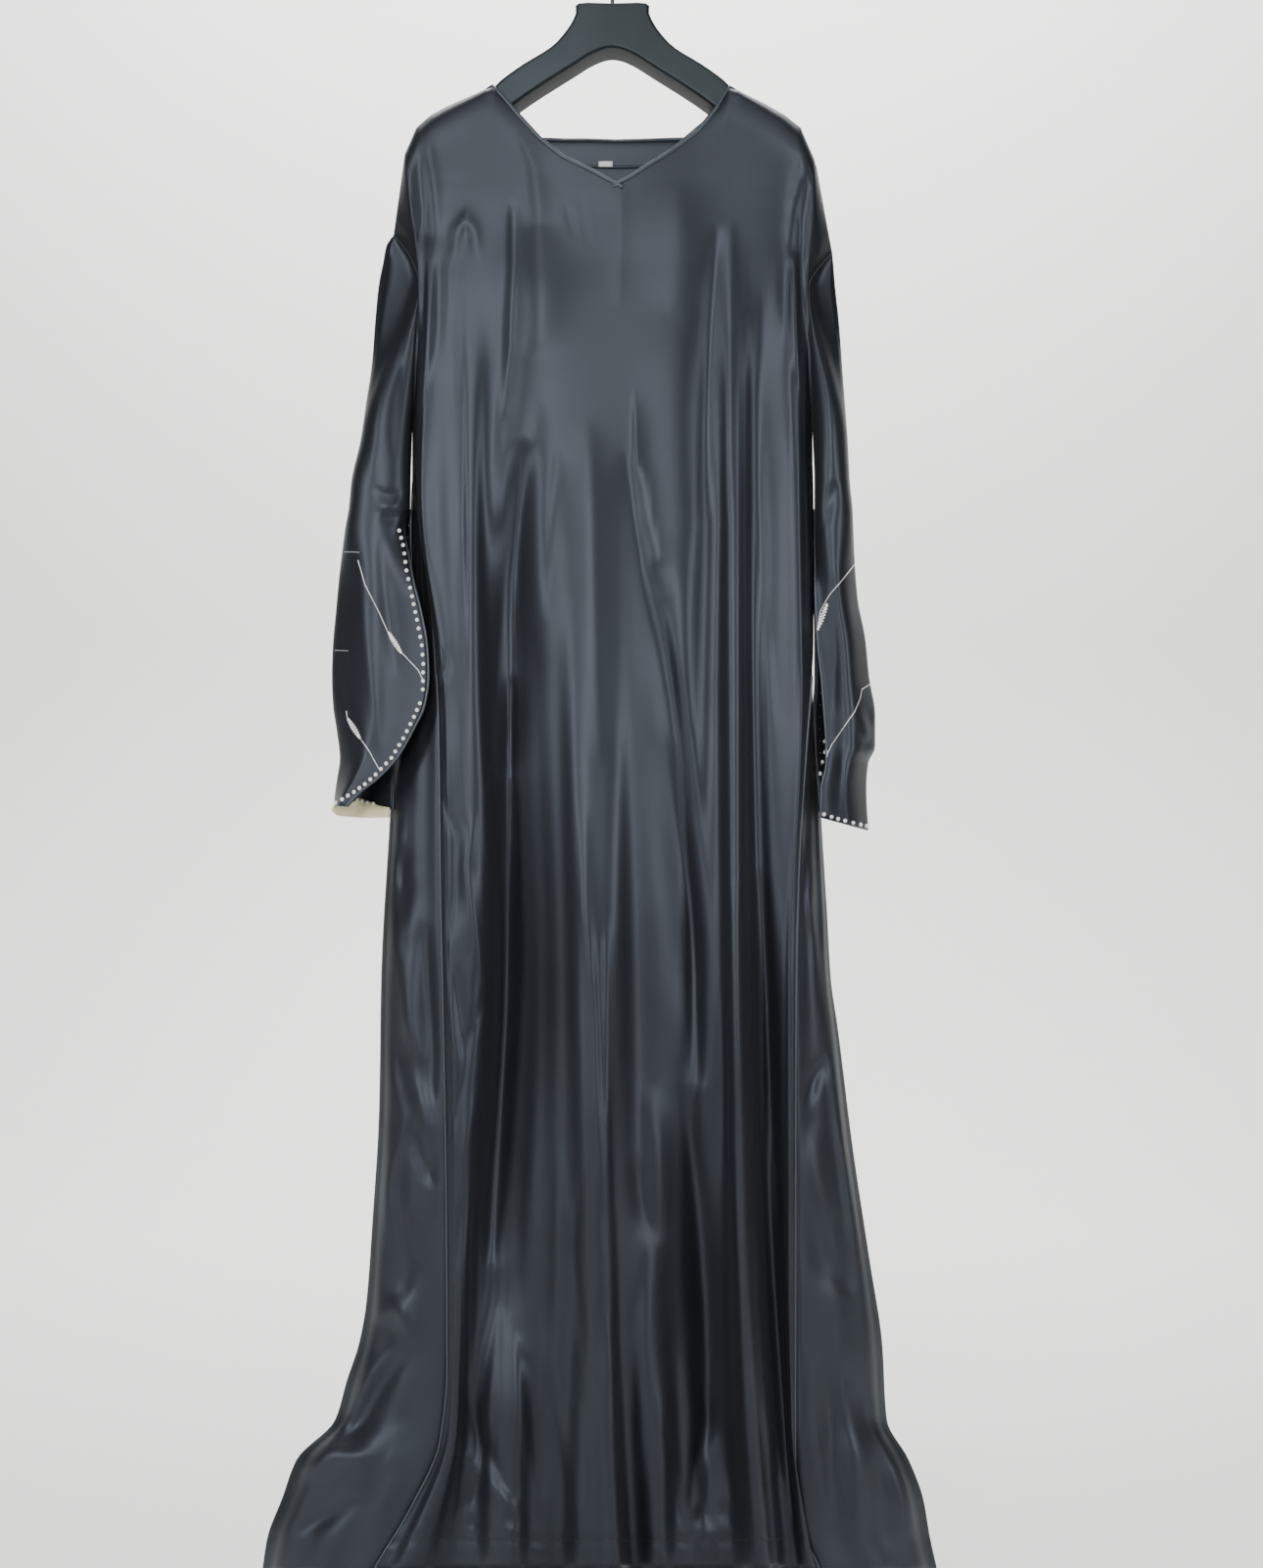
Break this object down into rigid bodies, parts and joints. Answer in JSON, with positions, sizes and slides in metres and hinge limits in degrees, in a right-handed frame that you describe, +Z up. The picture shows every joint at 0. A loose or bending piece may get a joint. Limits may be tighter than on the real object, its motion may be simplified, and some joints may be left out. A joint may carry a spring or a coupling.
{
  "type": "abaya cloak on a hanger",
  "caption": "Floor-length closed abaya with a shallow V neck, tulip sleeves and side slits, hanging in folds from a broad moulded hanger.",
  "frame": {"origin": "the inner top of the hook's bight, where the rail bears", "axes": "+Z up, the front of the garment faces -Y, +X is the wearer's left"},
  "size_m": [0.689, 0.2079, 1.6754],
  "materials": {
    "satin": "satin, charcoal blue-grey, soft sheen",
    "binding": "satin bias binding",
    "cream": "cream satin facing",
    "label": "woven white label, bare",
    "beads": "pearl beads",
    "silver": "silver cord and edging",
    "hanger": "moulded black, satin gloss",
    "hook": "bright plated wire"
  },
  "bodies": {
    "root": {"front_panel": "satin", "back_panel": "satin", "right_sleeve": "satin", "left_sleeve": "satin", "right_front_petal": "satin", "right_back_petal": "satin", "left_front_petal": "satin", "left_back_petal": "satin", "front_neck_binding": "binding", "back_neck_binding": "binding", "back_neck_facing": "satin", "right_cuff_facing": "cream", "size_label": "label", "hanger_body": "hanger", "hanger_hook": "hook"}
  },
  "joints": []
}
